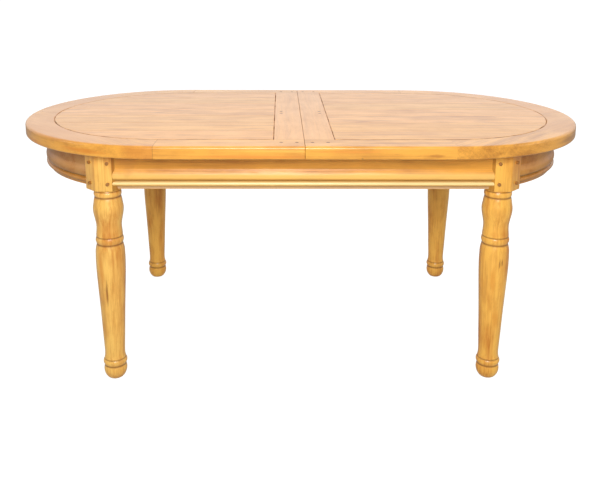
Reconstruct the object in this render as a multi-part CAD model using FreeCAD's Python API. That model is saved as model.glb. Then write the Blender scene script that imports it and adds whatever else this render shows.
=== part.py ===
"""Oval dining table whose top parts at the middle and slides open over a fixed, four-legged base.

X runs along the table, Y from front to back and Z up. The origin is on the floor, under the middle.
All sizes are in millimetres.
"""
import FreeCAD, Part
import math
import os

os.makedirs("parts", exist_ok=True)

# Overall size
table_length = 1830.0
table_width = 1050.0
table_height = 765.0
end_length = 495.0
slide_travel = 250.0

# Fits that several pieces share
overrun = 20.0
touch = 0.01
rest_gap = 0.4
slide_clearance = 0.4
tip_gap = 1.0
fit_clearance = 0.3

# Border, cross rail and planks of the top
top_thickness = 38.0
edge_radius = 8.0
under_edge_radius = 5.0
border_width = 90.0
cross_rail_width = 88.0
split_gap = 0.6
split_ease = 1.0
border_bevel = 2.0
plank_count = 7
plank_thickness = 24.0
plank_bevel = 0.8
tongue_length = 9.0
tongue_thickness = 8.0
rail_tenon_width = 64.0
rail_tenon_length = 52.0
rail_tenon_thickness = 12.0
stub_tenon_length = 36.0
stub_tenon_width = 80.0

# Pegs and dowels
peg_radius = 5.0
peg_proud = 0.5
top_peg_depth = 30.0
rail_peg_inset = 37.0
rail_peg_spacing = 44.0
stub_peg_inset = 22.0
stub_peg_spacing = 37.0
dowel_radius = 5.0
dowel_half_length = 30.0
dowel_spacing = 36.0
locating_dowel_reach = 14.0
locating_dowel_grip = 22.0
locating_dowel_spacing = 300.0

# Legs
leg_end_inset = 335.0
leg_side_inset = 133.0
block_height = 117.4
block_half = 45.0
block_chamfer = 20.5
block_wing = 15.0
turning_radius = 45.0

# Aprons and their mouldings
apron_height = 112.0
apron_thickness = 28.0
apron_setback = 8.0
end_apron_setback = 63.5
end_apron_inset = 8.5
moulding_height = 26.0
rebate_depth = 12.0
quirk_height = 2.5
quirk_depth = 1.5
bead_height = 12.5
bead_start = 1.5
bead_crown = 7.0
hollow_depth = 7.0
swell_height = 33.0
swell_depth = 7.0
swell_shares = ((0.0, 0.55), (0.16, 0.88), (0.38, 1.0), (0.62, 0.8), (0.84, 0.28), (1.0, 0.0))
tenon_setback = 14.0
tenon_thickness = 10.0
tenon_length = 42.0
tenon_past_peg = 8.0
tenon_foot = 2.0
tenon_haunch = 10.0
leg_peg_past = 4.0
leg_peg_inset = 12.0
leg_peg_low = 17.4
leg_peg_spacing = 62.0

# Bearers, guides and runners under the top
bearer_x = 230.0
bearer_width = 60.0
bearer_height = 32.0
bearer_lift = 28.4
bearer_tenon_length = 13.0
bearer_tenon_shoulder = 6.0
guide_share = 0.552
guide_width = 40.0
guide_headroom = 4.0
guide_overhang = 110.0
guide_groove_depth = 12.0
runner_width = 28.0
runner_past_batten = 55.0
runner_lap = 170.0
runner_relief = 1.0
runner_tongue = 11.0
runner_tongue_height = 12.0
stop_length = 40.0
stop_height = 28.0
batten_setback = 50.0
batten_width = 70.0
batten_end_gap = 30.0

# Screws
screw_radius = 2.2
screw_head_radius = 4.5
screw_head_height = 3.0
counterbore_depth = 14.0
runner_screw_bite = 20.0
batten_screw_bite = 16.0
stop_screw_bite = 14.0
guide_screw_bite = 23.0

# Turn catches that hold the two halves together
catch_y = 130.0
catch_thickness = 3.0
catch_drop = 4.0
catch_half_width = 8.0
catch_eye_radius = 10.0
catch_tail = 11.0
catch_pin_radius = 4.0
catch_collar_radius = 8.0
catch_head_radius = 9.0
catch_head_height = 3.0
catch_play = 0.3
catch_running_gap = 0.05
keeper_radius = 3.0
keeper_head_radius = 6.0
keeper_play = 1.0
catch_screw_length = 20.0

# Heights and places that follow from the sizes above
straight_half = table_length / 2 - end_length
underside = table_height - top_thickness
base_top = underside - rest_gap
block_bottom = base_top - block_height
apron_bottom = base_top - apron_height
leg_x = table_length / 2 - leg_end_inset
leg_y = table_width / 2 - leg_side_inset
block_side = leg_x + block_half + block_wing
plank_bottom = table_height - plank_thickness
field_half = table_width / 2 - border_width
split_face = split_gap / 2
border_middle = table_height - top_thickness / 2
tongue_bottom = table_height - plank_thickness / 2 - tongue_thickness / 2
tongue_top = tongue_bottom + tongue_thickness
plank_pitch = 2 * field_half / plank_count
top_end = table_length / 2
front_apron_face = leg_y + block_half - apron_setback
end_apron_meets = leg_y - end_apron_inset
end_apron_bow = top_end - end_apron_setback - block_side
end_apron_radius = (end_apron_bow ** 2 + end_apron_meets ** 2) / (2 * end_apron_bow)
end_apron_centre = top_end - end_apron_setback - end_apron_radius
moulding_top = apron_bottom + moulding_height
bearer_bottom = apron_bottom + bearer_lift
bearer_top = bearer_bottom + bearer_height
runner_bottom = bearer_top + slide_clearance
guide_y = field_half * guide_share
guide_top = underside - guide_headroom
guide_middle = (bearer_top + guide_top) / 2
guide_half_length = bearer_x + guide_overhang
batten_x = straight_half - batten_setback
runner_reach = batten_x + runner_past_batten
stop_face = bearer_x - bearer_width / 2 - slide_travel - slide_clearance
catch_top = underside - catch_drop
catch_arm = cross_rail_width
catch_pivot_x = cross_rail_width / 2


def vector(x, y, z):
    return FreeCAD.Vector(x, y, z)


def box(x0, x1, y0, y1, z0, z1):
    """A box between two corners."""
    return Part.makeBox(x1 - x0, y1 - y0, z1 - z0, vector(x0, y0, z0))


def upright(radius, x, y, z0, z1):
    """An upright cylinder between two heights."""
    return Part.makeCylinder(radius, z1 - z0, vector(x, y, z0))


def prism(points, z0, z1):
    """A flat polygon in X and Y, raised from z0 to z1."""
    corners = [vector(x, y, z0) for x, y in points]
    outline = Part.makePolygon(corners + corners[:1])
    return Part.Face(outline).extrude(vector(0, 0, z1 - z0))


def single(shape):
    """The one solid that a cut or a joint leaves."""
    clean = shape.removeSplitter()
    return clean.Solids[0] if len(clean.Solids) == 1 else clean


def sweep(start, middle, end):
    """An arc through three points, as a curve that still closes cleanly when it is run round a bend."""
    return Part.Arc(start, middle, end).toBSpline().toShape()


def flip_x(shape):
    return shape.mirror(vector(0, 0, 0), vector(1, 0, 0))


def flip_y(shape):
    return shape.mirror(vector(0, 0, 0), vector(0, 1, 0))


def save(node, solids):
    """One file for one kind of piece. Like fasteners share a file as separate solids."""
    shape = solids[0] if len(solids) == 1 else Part.makeCompound(solids)
    shape.exportStep("parts/%s.step" % node)


def screw(x, y, z, length):
    """A countersunk wood screw driven upwards, with the flat of its head at z."""
    head = Part.makeCone(screw_head_radius, screw_radius, screw_head_height, vector(x, y, z))
    return single(head.fuse(upright(screw_radius, x, y, z, z + length)))


# The plan of the top: straight sides and elliptical ends

def half_oval(inset, start, z0, z1):
    """The right half of the oval, drawn in by inset and starting at x = start."""
    half = table_width / 2 - inset
    reach = top_end - straight_half - inset
    side_tip = vector(straight_half, half, z0)
    end_tip = vector(straight_half + reach, 0, z0)
    centre = vector(straight_half, 0, z0)
    long_tip, short_tip = (side_tip, end_tip) if half > reach else (end_tip, side_tip)
    ellipse = Part.Ellipse(long_tip, short_tip, centre).toShape()
    end = Part.Face(Part.Wire(ellipse)).extrude(vector(0, 0, z1 - z0))
    end = end.common(box(straight_half, top_end + overrun, -half - overrun, half + overrun, z0, z1))
    return single(end.fuse(box(start, straight_half, -half, half, z0, z1)))


def flat_edges(solid, z, start):
    """The edges of a solid that lie at one height and reach past x = start."""
    level = [e for e in solid.Edges if abs(e.BoundBox.ZMin - z) + abs(e.BoundBox.ZMax - z) < touch]
    return [e for e in level if e.BoundBox.XMax > start + touch]


# Fasteners of the top's border

def rail_pegs():
    """Upright pegs: two through each end of the cross rail, and two through the middle plank's tenon."""
    rail_x = cross_rail_width / 2
    places = []
    for side in (-1, 1):
        for step in (-1, 1):
            places.append((rail_x + step * rail_peg_spacing / 2, side * (field_half + rail_peg_inset)))
    for step in (-1, 1):
        places.append((cross_rail_width - stub_peg_inset, step * stub_peg_spacing / 2))
    return [upright(peg_radius, x, y, table_height - top_peg_depth, table_height) for x, y in places]


def border_dowels():
    """Dowels in pairs through the three end joints of the border."""
    dowels = []
    for step in (-1, 1):
        across = field_half + border_width / 2 + step * dowel_spacing / 2
        for side in (-1, 1):
            start = vector(straight_half - dowel_half_length, side * across, border_middle)
            dowels.append(Part.makeCylinder(dowel_radius, 2 * dowel_half_length, start, vector(1, 0, 0)))
        along = top_end - border_width / 2 + step * dowel_spacing / 2
        start = vector(along, -dowel_half_length, border_middle)
        dowels.append(Part.makeCylinder(dowel_radius, 2 * dowel_half_length, start, vector(0, 1, 0)))
    return dowels


def locating_dowels(radius, reach):
    """Dowels on the split face of the right half. The same shapes, a little larger, make their holes."""
    start = split_face + locating_dowel_grip
    return [
        Part.makeCylinder(
            radius,
            locating_dowel_grip + split_gap + reach,
            vector(start, step * locating_dowel_spacing, border_middle),
            vector(-1, 0, 0),
        )
        for step in (-1, 0, 1)
    ]


# Border and cross rail

def border_frame():
    """Border and cross rail of one half in one, with the groove that takes the planks' tongues."""
    slab = half_oval(0, split_face, underside, table_height)
    slab = slab.makeFillet(edge_radius, flat_edges(slab, table_height, split_face))
    slab = slab.makeFillet(under_edge_radius, flat_edges(slab, underside, split_face))
    split_rim = [e for e in slab.Edges if e.BoundBox.XMax < split_face + touch]
    slab = slab.makeChamfer(split_ease, split_rim)
    slab = slab.cut(half_oval(border_width, cross_rail_width, underside - overrun, table_height + overrun))
    inner = [e for e in flat_edges(slab, table_height, 0) if abs(e.BoundBox.YMin) < field_half + touch]
    inner = [e for e in inner if e.BoundBox.YMax < field_half + touch]
    inner = [e for e in inner if e.BoundBox.XMin > cross_rail_width - touch]
    slab = slab.makeChamfer(border_bevel, inner)
    reach = tongue_length + tip_gap
    groove = half_oval(border_width - reach, cross_rail_width - reach, tongue_bottom, tongue_top)
    return single(slab.cut(groove))


def rail_tenon(side, gap):
    """The tenon at one end of the cross rail, lengthened by gap when it is used to cut its mortise."""
    middle = cross_rail_width / 2
    end = field_half + rail_tenon_length + gap
    y0, y1 = sorted((side * field_half, side * end))
    half_thick = rail_tenon_thickness / 2
    low, high = border_middle - half_thick, border_middle + half_thick
    return box(middle - rail_tenon_width / 2, middle + rail_tenon_width / 2, y0, y1, low, high)


def stub_tenon(gap):
    """The long tongue by which the middle plank is pegged into the cross rail."""
    start = cross_rail_width - stub_tenon_length - gap
    half = stub_tenon_width / 2
    return box(start, cross_rail_width, -half, half, tongue_bottom, tongue_top)


def border_pieces(locators):
    """The two rails, the two curved pieces and the cross rail of one half."""
    frame = border_frame()
    bores = rail_pegs() + border_dowels() + locators
    far = table_width / 2 + overrun
    low, high = underside - overrun, table_height + overrun
    pieces = {}
    for name, side in (("front", -1), ("back", 1)):
        y0, y1 = sorted((side * field_half, side * far))
        rail = frame.common(box(0, straight_half, y0, y1, low, high))
        pieces[name + "_rail"] = single(rail.cut([rail_tenon(side, tip_gap)] + bores))
        y0, y1 = sorted((0, side * far))
        curve = frame.common(box(straight_half, top_end + overrun, y0, y1, low, high))
        pieces[name + "_curve"] = single(curve.cut(bores))
    cross = frame.common(box(0, cross_rail_width, -field_half, field_half, low, high))
    cross = cross.fuse([rail_tenon(side, 0) for side in (-1, 1)])
    pieces["cross_rail"] = single(cross.cut([stub_tenon(tip_gap)] + bores))
    return pieces


# Planks

def field_panel():
    """All planks of one half in one, with the tongue that runs round them."""
    plate = half_oval(border_width, cross_rail_width, plank_bottom, table_height)
    rim = flat_edges(plate, table_height, 0)
    plate = plate.makeChamfer(border_bevel, rim)
    start = cross_rail_width - tongue_length
    return plate.fuse(half_oval(border_width - tongue_length, start, tongue_bottom, tongue_top))


def plank_vee(y):
    """The fine vee between two planks."""
    spread = plank_bevel + overrun
    rows = ((y - spread, overrun), (y + spread, overrun), (y, -plank_bevel))
    corners = [vector(0, row_y, table_height + rise) for row_y, rise in rows]
    return Part.Face(Part.makePolygon(corners + corners[:1])).extrude(vector(top_end, 0, 0))


def planks(bores):
    """The planks of one half, from the front to the back, tongued into one another."""
    panel = field_panel()
    boards = []
    for i in range(plank_count):
        y0 = -field_half + i * plank_pitch
        y1 = y0 + plank_pitch
        first, last = i == 0, i == plank_count - 1
        low = y0 - overrun if first else y0
        high = y1 + overrun if last else y1
        board = box(0, top_end, low, high, plank_bottom, table_height)
        if not last:
            board = board.fuse(box(0, top_end, y1, y1 + tongue_length, tongue_bottom, tongue_top))
        if not first:
            board = board.cut(box(0, top_end, y0, y0 + tongue_length + tip_gap, tongue_bottom, tongue_top))
        board = panel.common(board).cut([plank_vee(y) for y in (y0, y1)])
        if i == plank_count // 2:
            board = board.fuse(stub_tenon(0))
        boards.append(single(board.cut(bores)))
    return boards


# Runners, stops and batten of one half

def runner(near_y, tongue_side):
    """One runner of the right half. Its tongue lies on the side that faces the guide."""
    far_y = near_y - tongue_side * runner_width
    y0, y1 = sorted((near_y, far_y))
    body = box(0, runner_reach, y0, y1, runner_bottom, underside)
    body = body.fuse(box(-runner_lap, 0, y0, y1, runner_bottom, underside - runner_relief))
    t0, t1 = sorted((near_y, near_y + tongue_side * runner_tongue))
    half_tongue = runner_tongue_height / 2
    low, high = guide_middle - half_tongue, guide_middle + half_tongue
    return single(body.fuse(box(-runner_lap, runner_reach, t0, t1, low, high)))


def slide_stop(y):
    """The block under a runner that meets the bearer when the half is fully drawn out."""
    half = runner_width / 2
    foot = runner_bottom - stop_height
    return box(stop_face - stop_length, stop_face, y - half, y + half, foot, runner_bottom)


def batten():
    half = field_half - batten_end_gap
    x0, x1 = batten_x - batten_width / 2, batten_x + batten_width / 2
    return box(x0, x1, -half, half, underside, plank_bottom)


def build_half(side_name, outer_runners, locators, turn):
    """All pieces of one half of the top, made as the right half and turned to their side at the end."""
    gap = guide_width / 2 + slide_clearance
    near_y = guide_y + gap if outer_runners else guide_y - gap
    tongue_side = -1 if outer_runners else 1
    middle_y = near_y - tongue_side * runner_width / 2
    head_z = runner_bottom + counterbore_depth
    stop_x = stop_face - stop_length / 2
    stop_z = runner_bottom - stop_height
    runner_screws = []
    counterbores = []
    stop_screws = []
    for side in (-1, 1):
        for x in (cross_rail_width / 2, batten_x):
            runner_screws.append(screw(x, side * middle_y, head_z, underside + runner_screw_bite - head_z))
            counterbores.append(upright(screw_head_radius, x, side * middle_y, runner_bottom, head_z))
        stop_screws.append(screw(stop_x, side * middle_y, stop_z, stop_height + stop_screw_bite))
    batten_screws = []
    for i in range(plank_count):
        y = -field_half + (i + 1 / 2) * plank_pitch
        batten_screws.append(screw(batten_x, y, underside, plank_bottom + batten_screw_bite - underside))
    screws = runner_screws + batten_screws + stop_screws
    for name, piece in border_pieces(locators).items():
        save("%s_%s" % (side_name, name), [turn(single(piece.cut(screws)))])
    for i, board in enumerate(planks(rail_pegs() + screws)):
        save("%s_plank_%d" % (side_name, i + 1), [turn(board)])
    save("%s_batten" % side_name, [turn(single(batten().cut(screws)))])
    for name, side in (("front", -1), ("back", 1)):
        rail = runner(near_y, tongue_side)
        rail = rail if side > 0 else flip_y(rail)
        rail = single(rail.cut(screws + counterbores))
        save("%s_runner_%s" % (side_name, name), [turn(rail)])
    stops = [slide_stop(side * middle_y).cut(stop_screws) for side in (-1, 1)]
    save("%s_slide_stops" % side_name, [turn(single(stop)) for stop in stops])
    save("%s_pegs" % side_name, [turn(peg) for peg in rail_pegs()])
    save("%s_screws" % side_name, [turn(item) for item in screws])


# Turn catches, their pivots and their keepers

def catch_closed():
    """A hook lying across the split, from its eye on the left rail to the keeper on the right one."""
    z0, z1 = catch_top - catch_play - catch_thickness, catch_top - catch_play
    tip = catch_arm + catch_tail
    plate = box(0, tip - catch_half_width, -catch_half_width, catch_half_width, z0, z1)
    plate = plate.fuse(upright(catch_half_width, tip - catch_half_width, 0, z0, z1))
    plate = plate.fuse(upright(catch_eye_radius, 0, 0, z0, z1))
    slot = keeper_radius + keeper_play
    mouth = box(catch_arm - slot, catch_arm + slot, -catch_eye_radius, 0, z0, z1)
    eye = upright(catch_pin_radius + catch_running_gap, 0, 0, z0, z1)
    return single(plate.cut([mouth, upright(slot, catch_arm, 0, z0, z1), eye]))


def catch_pivot(x, y):
    """Shoulder screw: a collar against the rail, a shoulder in the hook's eye and a head below it."""
    low = catch_top - catch_thickness - 2 * catch_play
    collar = upright(catch_collar_radius, x, y, catch_top, underside)
    shoulder = upright(catch_pin_radius, x, y, low, catch_top)
    head = upright(catch_head_radius, x, y, low - catch_head_height, low)
    shank = upright(screw_radius, x, y, underside, underside + catch_screw_length)
    return single(collar.fuse([shoulder, head, shank]))


def keeper(x, y):
    """Headed pin that the hook's slot closes round."""
    low = catch_top - catch_thickness - 2 * catch_play
    pin = upright(keeper_radius, x, y, low, underside)
    head = upright(keeper_head_radius, x, y, low - catch_head_height, low)
    shank = upright(screw_radius, x, y, underside, underside + catch_screw_length)
    return single(pin.fuse([head, shank]))


def build_catches():
    hook = catch_closed()
    hook.rotate(vector(0, 0, 0), vector(0, 0, 1), 90)
    hook.translate(vector(-catch_pivot_x, -catch_y, 0))
    save("catch_front", [hook])
    save("catch_back", [flip_y(hook)])


# Legs: a turned post under a faceted block

foot_shares = ((0.0, 0.445), (0.044, 0.775), (0.072, 0.725))
ankle_bead_shares = ((0.077, 0.725), (0.092, 0.805), (0.107, 0.725))
shaft_shares = (
    (0.109, 0.73), (0.125, 0.685), (0.15, 0.675), (0.23, 0.728), (0.36, 0.805),
    (0.48, 0.893), (0.57, 0.956), (0.635, 0.976), (0.67, 0.965),
)
shaft_shoulder_shares = ((0.67, 0.965), (0.703, 0.925), (0.719, 0.86))
middle_bead_shares = ((0.725, 0.86), (0.741, 0.922), (0.757, 0.86))
vase_shares = (
    (0.7605, 0.875), (0.775, 0.86), (0.8, 0.828), (0.822, 0.834), (0.845, 0.888),
    (0.871, 0.962), (0.895, 1.0), (0.913, 0.985), (0.93, 0.94),
)
vase_shoulder_shares = ((0.93, 0.94), (0.947, 0.908), (0.96, 0.86))
neck_bead_shares = ((0.963, 0.86), (0.976, 0.905), (0.989, 0.86))


def turned_post():
    """The turning below the block, revolved from its half outline."""
    def place(row):
        return vector(turning_radius * row[1], 0, block_bottom * row[0])

    def bow(rows):
        return Part.Arc(place(rows[0]), place(rows[1]), place(rows[2])).toShape()

    def curve(rows):
        spline = Part.BSplineCurve()
        spline.interpolate([place(row) for row in rows])
        return spline.toShape()

    stretches = (
        (bow, foot_shares), (bow, ankle_bead_shares), (curve, shaft_shares), (bow, shaft_shoulder_shares),
        (bow, middle_bead_shares), (curve, vase_shares), (bow, vase_shoulder_shares), (bow, neck_bead_shares),
    )
    edges = []
    last = vector(0, 0, 0)
    for make, rows in stretches:
        start = place(rows[0])
        if (start - last).Length > touch:
            edges.append(Part.LineSegment(last, start).toShape())
        edges.append(make(rows))
        last = place(rows[-1])
    top = place((1.0, neck_bead_shares[-1][1]))
    for corner in (top, vector(0, 0, block_bottom), vector(0, 0, 0)):
        edges.append(Part.LineSegment(last, corner).toShape())
        last = corner
    outline = Part.Wire(edges)
    return Part.Face(outline).revolve(vector(0, 0, 0), vector(0, 0, 1), 360)


def leg_block():
    """The block of the front right leg: chamfered in front, and widened on its outer side."""
    a, c, w = block_half, block_chamfer, block_wing
    outline = ((c - a, -a), (a - c, -a), (a + w, w + c - a), (a + w, a), (-a, a), (-a, c - a))
    return prism(outline, block_bottom, base_top)


def apron_tenon(gap):
    """Tenon of the straight apron, in the front right leg's own frame."""
    face = apron_setback - block_half
    y0 = face + tenon_setback
    end = tenon_length + gap - block_half
    low, high = apron_bottom + tenon_foot, base_top - tenon_haunch
    return box(-block_half, end, y0, y0 + tenon_thickness, low, high)


def end_joint():
    """Where the curved apron's tenon leaves the leg's outer side, its angle, and how far in its peg crosses.

    The peg is driven square to the outer facet, and its depth to the crossing is the last value.
    """
    radius = end_apron_radius - tenon_setback - tenon_thickness / 2
    slope = math.acos((block_side - end_apron_centre) / radius)
    start_y = leg_y - radius * math.sin(slope)
    run_x, run_y = math.sin(slope), math.cos(slope)
    facet_x = block_half + (block_wing - block_chamfer) / 2
    facet_y = (block_wing + block_chamfer) / 2 - block_half
    outside = block_half + block_wing
    crossing = (outside + start_y - facet_x - facet_y) / (run_x + run_y)
    depth = (facet_x - outside + crossing * run_x) * math.sqrt(2)
    return start_y, slope, crossing, facet_x, facet_y, depth


def end_tenon(gap):
    """Tenon of the curved apron. It leaves the apron along its curve and enters the block's outer side."""
    start_y, slope, crossing = end_joint()[:3]
    length = crossing + peg_radius + tenon_past_peg + gap
    low, high = apron_bottom + tenon_foot, base_top - tenon_haunch
    half = tenon_thickness / 2
    bar = box(-length, 2 * tenon_thickness, -half, half, low, high)
    bar.rotate(vector(0, 0, 0), vector(0, 0, 1), 90 - math.degrees(slope))
    outside = block_half + block_wing
    bar.translate(vector(outside, start_y, 0))
    reach = 2 * (length + overrun)
    return bar.common(box(outside - reach, outside, -reach, reach, low, high))


def leg_pegs():
    """The four pegs of the front right leg, two through each apron tenon."""
    facet_x, facet_y, depth = end_joint()[3:]
    front_length = peg_proud + apron_setback + tenon_setback + tenon_thickness + leg_peg_past
    facet_length = peg_proud + depth + tenon_thickness / 2 + leg_peg_past
    lift = peg_proud * math.sqrt(1 / 2)
    pegs = []
    for rise in (leg_peg_low, leg_peg_low + leg_peg_spacing):
        z = apron_bottom + rise
        start = vector(-leg_peg_inset, -block_half - peg_proud, z)
        pegs.append(Part.makeCylinder(peg_radius, front_length, start, vector(0, 1, 0)))
        start = vector(facet_x + lift, facet_y - lift, z)
        pegs.append(Part.makeCylinder(peg_radius, facet_length, start, vector(-1, 1, 0)))
    return pegs


def to_corner(shape, side_x, side_y):
    """Moves a piece from the front right leg's own frame to one of the four corners."""
    moved = shape.copy()
    moved.translate(vector(leg_x, -leg_y, 0))
    if side_x < 0:
        moved = flip_x(moved)
    if side_y > 0:
        moved = flip_y(moved)
    return moved


def build_legs():
    leg = leg_block().fuse(turned_post())
    leg = single(leg.cut([apron_tenon(tip_gap), end_tenon(tip_gap)] + leg_pegs()))
    pegs = []
    for y_name, side_y in (("front", -1), ("back", 1)):
        for x_name, side_x in (("left", -1), ("right", 1)):
            save("leg_%s_%s" % (y_name, x_name), [to_corner(leg, side_x, side_y)])
            pegs += [to_corner(peg, side_x, side_y) for peg in leg_pegs()]
    save("leg_pegs", pegs)


# Aprons: a flat board with a swell along its face, and a bead moulding let into a rebate at its foot

def apron_section(face):
    """Section of an apron board in X and Z. Its flat face is at x = face, and the swell stands proud."""
    inner = face - apron_thickness
    swell_foot = moulding_top + quirk_height
    swell = []
    for rise, proud in swell_shares:
        swell.append(vector(face + swell_depth * proud, 0, swell_foot + swell_height * rise))
    rows = [
        (inner, base_top),
        (inner, apron_bottom),
        (face - rebate_depth, apron_bottom),
        (face - rebate_depth, moulding_top),
        (face - quirk_depth, moulding_top),
    ]
    points = [vector(x, 0, z) for x, z in rows] + swell[:1]
    edges = [Part.LineSegment(a, b).toShape() for a, b in zip(points, points[1:])]
    curve = Part.BSplineCurve()
    curve.interpolate(swell)
    edges.append(curve.toShape())
    corners = [swell[-1], vector(face, 0, base_top), points[0]]
    edges += [Part.LineSegment(a, b).toShape() for a, b in zip(corners, corners[1:])]
    return Part.Face(Part.Wire(edges))


def moulding_section(face):
    """Section of the moulding: a round bead over a hollow, flush with the bottom of the apron."""
    back = face - rebate_depth
    bead_top = moulding_top - quirk_height
    bead_foot = bead_top - bead_height
    lip = face + bead_start
    toe = lip - hollow_depth
    middle = (bead_foot + bead_top) / 2
    toe_drop = bead_foot - apron_bottom
    bend = math.sqrt(1 / 2)
    hollow = vector(lip - hollow_depth * bend, 0, apron_bottom + toe_drop * bend)
    points = [vector(toe, 0, apron_bottom), vector(back, 0, apron_bottom), vector(back, 0, moulding_top)]
    points += [vector(face - quirk_depth, 0, moulding_top), vector(lip, 0, bead_top)]
    edges = [Part.LineSegment(a, b).toShape() for a, b in zip(points, points[1:])]
    bead_end = vector(lip, 0, bead_foot)
    edges.append(sweep(points[-1], vector(face + bead_crown, 0, middle), bead_end))
    edges.append(sweep(bead_end, hollow, points[0]))
    return Part.Face(Part.Wire(edges))


def run_straight(section):
    """Runs a section along the front of the table, between the leg axes."""
    profile = section.copy()
    profile.rotate(vector(0, 0, 0), vector(0, 0, 1), -90)
    profile.translate(vector(-leg_x, 0, 0))
    strip = profile.extrude(vector(2 * leg_x, 0, 0))
    return single(strip.cut([to_corner(leg_block(), side, -1) for side in (-1, 1)]))


def run_round(section):
    """Runs a section round the right end of the table, as far as the outer sides of the leg blocks."""
    profile = section.copy()
    profile.rotate(vector(0, 0, 0), vector(0, 0, 1), -90)
    ring = profile.revolve(vector(0, 0, 0), vector(0, 0, 1), 180)
    ring.translate(vector(end_apron_centre, 0, 0))
    far = end_apron_centre + end_apron_radius + overrun
    keep = box(block_side, far, -far, far, apron_bottom - overrun, base_top + overrun)
    return single(ring.common(keep))


def bearer_tenon(side, gap):
    """Stub tenon at the front end of a bearer."""
    inner = front_apron_face - apron_thickness
    half = bearer_width / 2 - bearer_tenon_shoulder
    low, high = bearer_bottom + bearer_tenon_shoulder, bearer_top - bearer_tenon_shoulder
    middle = side * bearer_x
    return box(middle - half, middle + half, -inner - bearer_tenon_length - gap, -inner, low, high)


def build_aprons():
    front = run_straight(apron_section(front_apron_face))
    front = front.fuse([to_corner(apron_tenon(0), side, -1) for side in (-1, 1)])
    corner_pegs = [to_corner(peg, side, -1) for peg in leg_pegs() for side in (-1, 1)]
    front = single(front.cut([bearer_tenon(side, tip_gap) for side in (-1, 1)] + corner_pegs))
    save("apron_front", [front])
    save("apron_back", [flip_y(front)])
    right = run_round(apron_section(end_apron_radius))
    right = right.fuse([to_corner(end_tenon(0), 1, side) for side in (-1, 1)])
    corner_pegs = [to_corner(peg, 1, side) for peg in leg_pegs() for side in (-1, 1)]
    right = single(right.cut(corner_pegs))
    save("apron_right", [right])
    save("apron_left", [flip_x(right)])
    front_moulding = run_straight(moulding_section(front_apron_face))
    save("moulding_front", [front_moulding])
    save("moulding_back", [flip_y(front_moulding)])
    right_moulding = run_round(moulding_section(end_apron_radius))
    save("moulding_right", [right_moulding])
    save("moulding_left", [flip_x(right_moulding)])


# Bearers and grooved guides

def guide_screws():
    return [
        screw(side_x * bearer_x, side_y * guide_y, bearer_bottom, bearer_height + guide_screw_bite)
        for side_x in (-1, 1)
        for side_y in (-1, 1)
    ]


def bearer(side):
    """A bearer across the base, tenoned into the straight aprons."""
    inner = front_apron_face - apron_thickness
    x0, x1 = side * bearer_x - bearer_width / 2, side * bearer_x + bearer_width / 2
    bar = box(x0, x1, -inner, inner, bearer_bottom, bearer_top)
    bar = bar.fuse([bearer_tenon(side, 0), flip_y(bearer_tenon(side, 0))])
    return single(bar.cut(guide_screws()))


def guide():
    """The back guide, with a groove down each side for the runners' tongues."""
    y0, y1 = guide_y - guide_width / 2, guide_y + guide_width / 2
    rail = box(-guide_half_length, guide_half_length, y0, y1, bearer_top, guide_top)
    half = runner_tongue_height / 2 + slide_clearance
    low, high = guide_middle - half, guide_middle + half
    grooves = []
    for start, end in ((y0 - overrun, y0 + guide_groove_depth), (y1 - guide_groove_depth, y1 + overrun)):
        grooves.append(box(-guide_half_length, guide_half_length, start, end, low, high))
    return single(rail.cut(grooves + guide_screws()))


def build_slide_bed():
    save("bearer_left", [bearer(-1)])
    save("bearer_right", [bearer(1)])
    save("guide_back", [guide()])
    save("guide_front", [flip_y(guide())])
    save("guide_screws", guide_screws())


def build_top():
    """Both halves. The right one carries the locating dowels and keepers, the left one holes and pivots."""
    dowels = locating_dowels(dowel_radius, locating_dowel_reach)
    holes = locating_dowels(dowel_radius + fit_clearance, locating_dowel_reach + tip_gap)
    keepers = [keeper(catch_pivot_x, side * catch_y) for side in (-1, 1)]
    pivots = [catch_pivot(-catch_pivot_x, side * catch_y) for side in (-1, 1)]
    build_half("right", False, dowels + keepers, lambda shape: shape)
    build_half("left", True, [flip_x(item) for item in holes + pivots], flip_x)
    save("right_dowels", border_dowels() + dowels)
    save("left_dowels", [flip_x(dowel) for dowel in border_dowels()])
    save("catch_keepers", keepers)
    save("catch_pivots", pivots)


build_top()
build_catches()
build_legs()
build_aprons()
build_slide_bed()
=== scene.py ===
import math
import bpy
from mathutils import Matrix, Vector
from mathutils.geometry import interpolate_bezier


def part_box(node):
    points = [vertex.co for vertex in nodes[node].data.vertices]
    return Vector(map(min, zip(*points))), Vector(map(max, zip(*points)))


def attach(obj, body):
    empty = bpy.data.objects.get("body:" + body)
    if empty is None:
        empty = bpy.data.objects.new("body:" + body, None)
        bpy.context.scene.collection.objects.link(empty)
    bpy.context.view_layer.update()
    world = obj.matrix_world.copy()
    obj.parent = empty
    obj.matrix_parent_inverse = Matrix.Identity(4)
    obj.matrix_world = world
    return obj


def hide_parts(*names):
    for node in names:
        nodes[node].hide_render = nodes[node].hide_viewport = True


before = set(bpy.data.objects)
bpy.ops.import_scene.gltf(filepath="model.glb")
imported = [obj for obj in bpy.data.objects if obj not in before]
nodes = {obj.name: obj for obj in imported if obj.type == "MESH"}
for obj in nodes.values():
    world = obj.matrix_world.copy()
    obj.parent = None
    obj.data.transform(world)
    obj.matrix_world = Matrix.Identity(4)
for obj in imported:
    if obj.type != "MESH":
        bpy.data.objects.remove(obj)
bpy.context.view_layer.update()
scene = bpy.context.scene


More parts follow.
